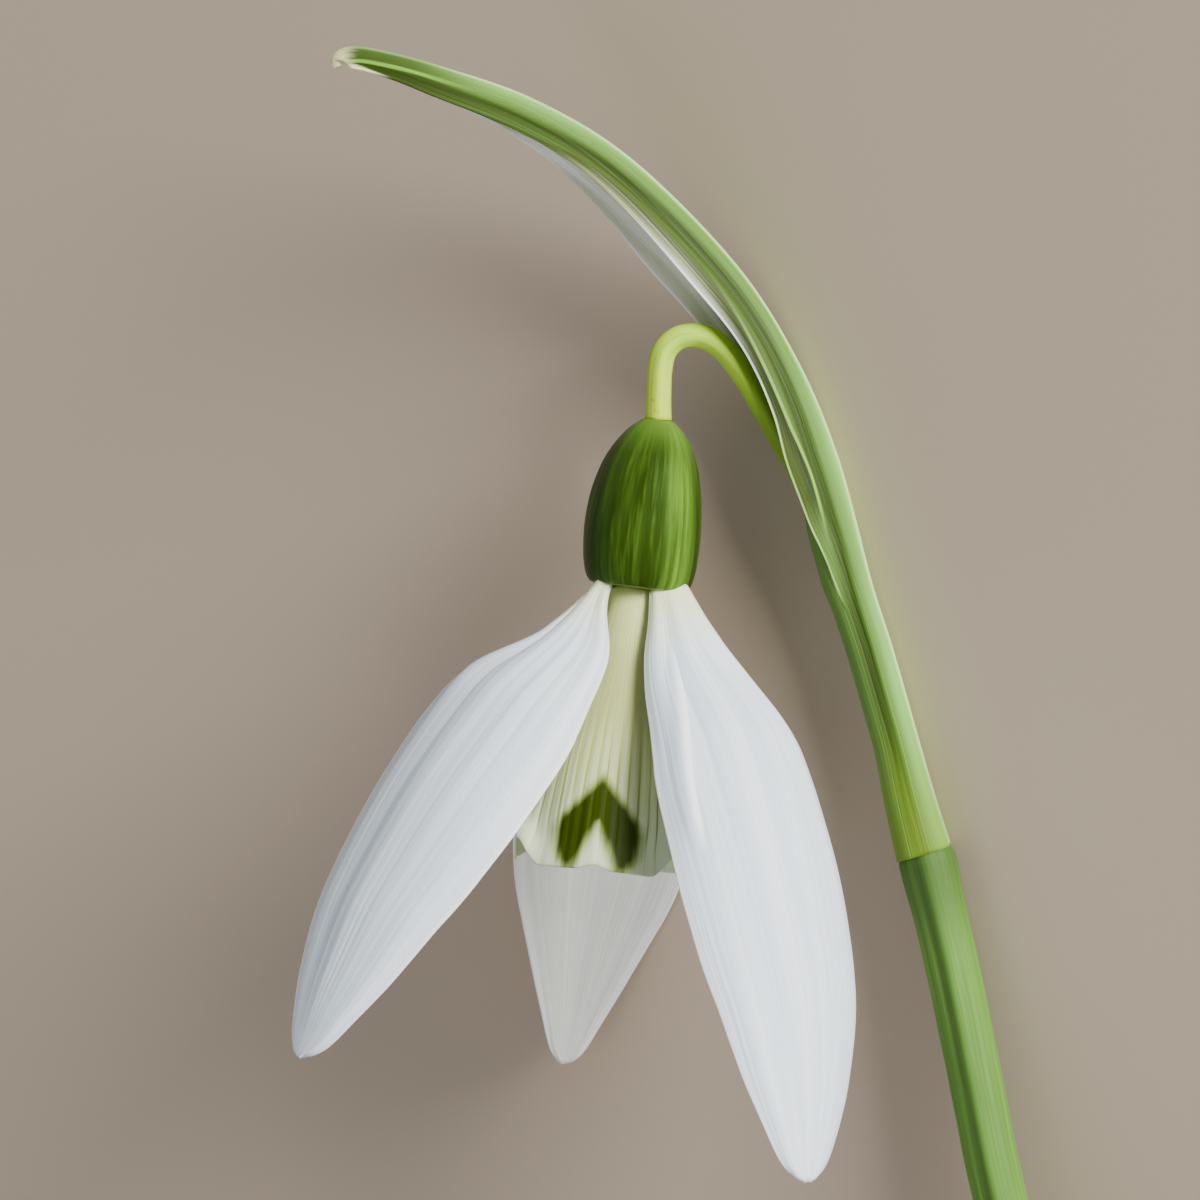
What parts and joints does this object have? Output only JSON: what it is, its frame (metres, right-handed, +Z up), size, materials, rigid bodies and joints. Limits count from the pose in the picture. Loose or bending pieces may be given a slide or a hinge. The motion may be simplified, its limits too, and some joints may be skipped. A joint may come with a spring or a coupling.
{
  "type": "snowdrop flower",
  "caption": "Picked snowdrop flower lying on its side: nodding white bell of spoon-shaped outer petals over notched inner ones, green ovary, arching stalk, keeled spathe and cut stem",
  "frame": {"origin": "bottom centre of the bounding box, on the surface that the flower lies on", "axes": "+Z up from the surface; +Y along the flower's length, from the cut end of the stem towards the tip of the spathe; +X to the side on which the stem lies"},
  "size_m": [0.0221, 0.0812, 0.0238],
  "materials": {
    "stem": "satin",
    "spathe": "satin",
    "pedicel": "satin",
    "ovary": "satin",
    "outer_petal": "satin",
    "inner_petal": "satin",
    "anther": "matte",
    "style": "satin"
  },
  "bodies": {
    "root": {"scape": "stem", "spathe": "spathe", "pedicel": "pedicel", "ovary": "ovary", "outer_tepal_left": "outer_petal", "outer_tepal_right": "outer_petal", "outer_tepal_back": "outer_petal", "inner_tepal_front": "inner_petal", "inner_tepal_left": "inner_petal", "inner_tepal_right": "inner_petal", "stamen_1": "anther", "stamen_2": "anther", "stamen_3": "anther", "stamen_4": "anther", "stamen_5": "anther", "stamen_6": "anther", "style": "style"}
  },
  "joints": []
}
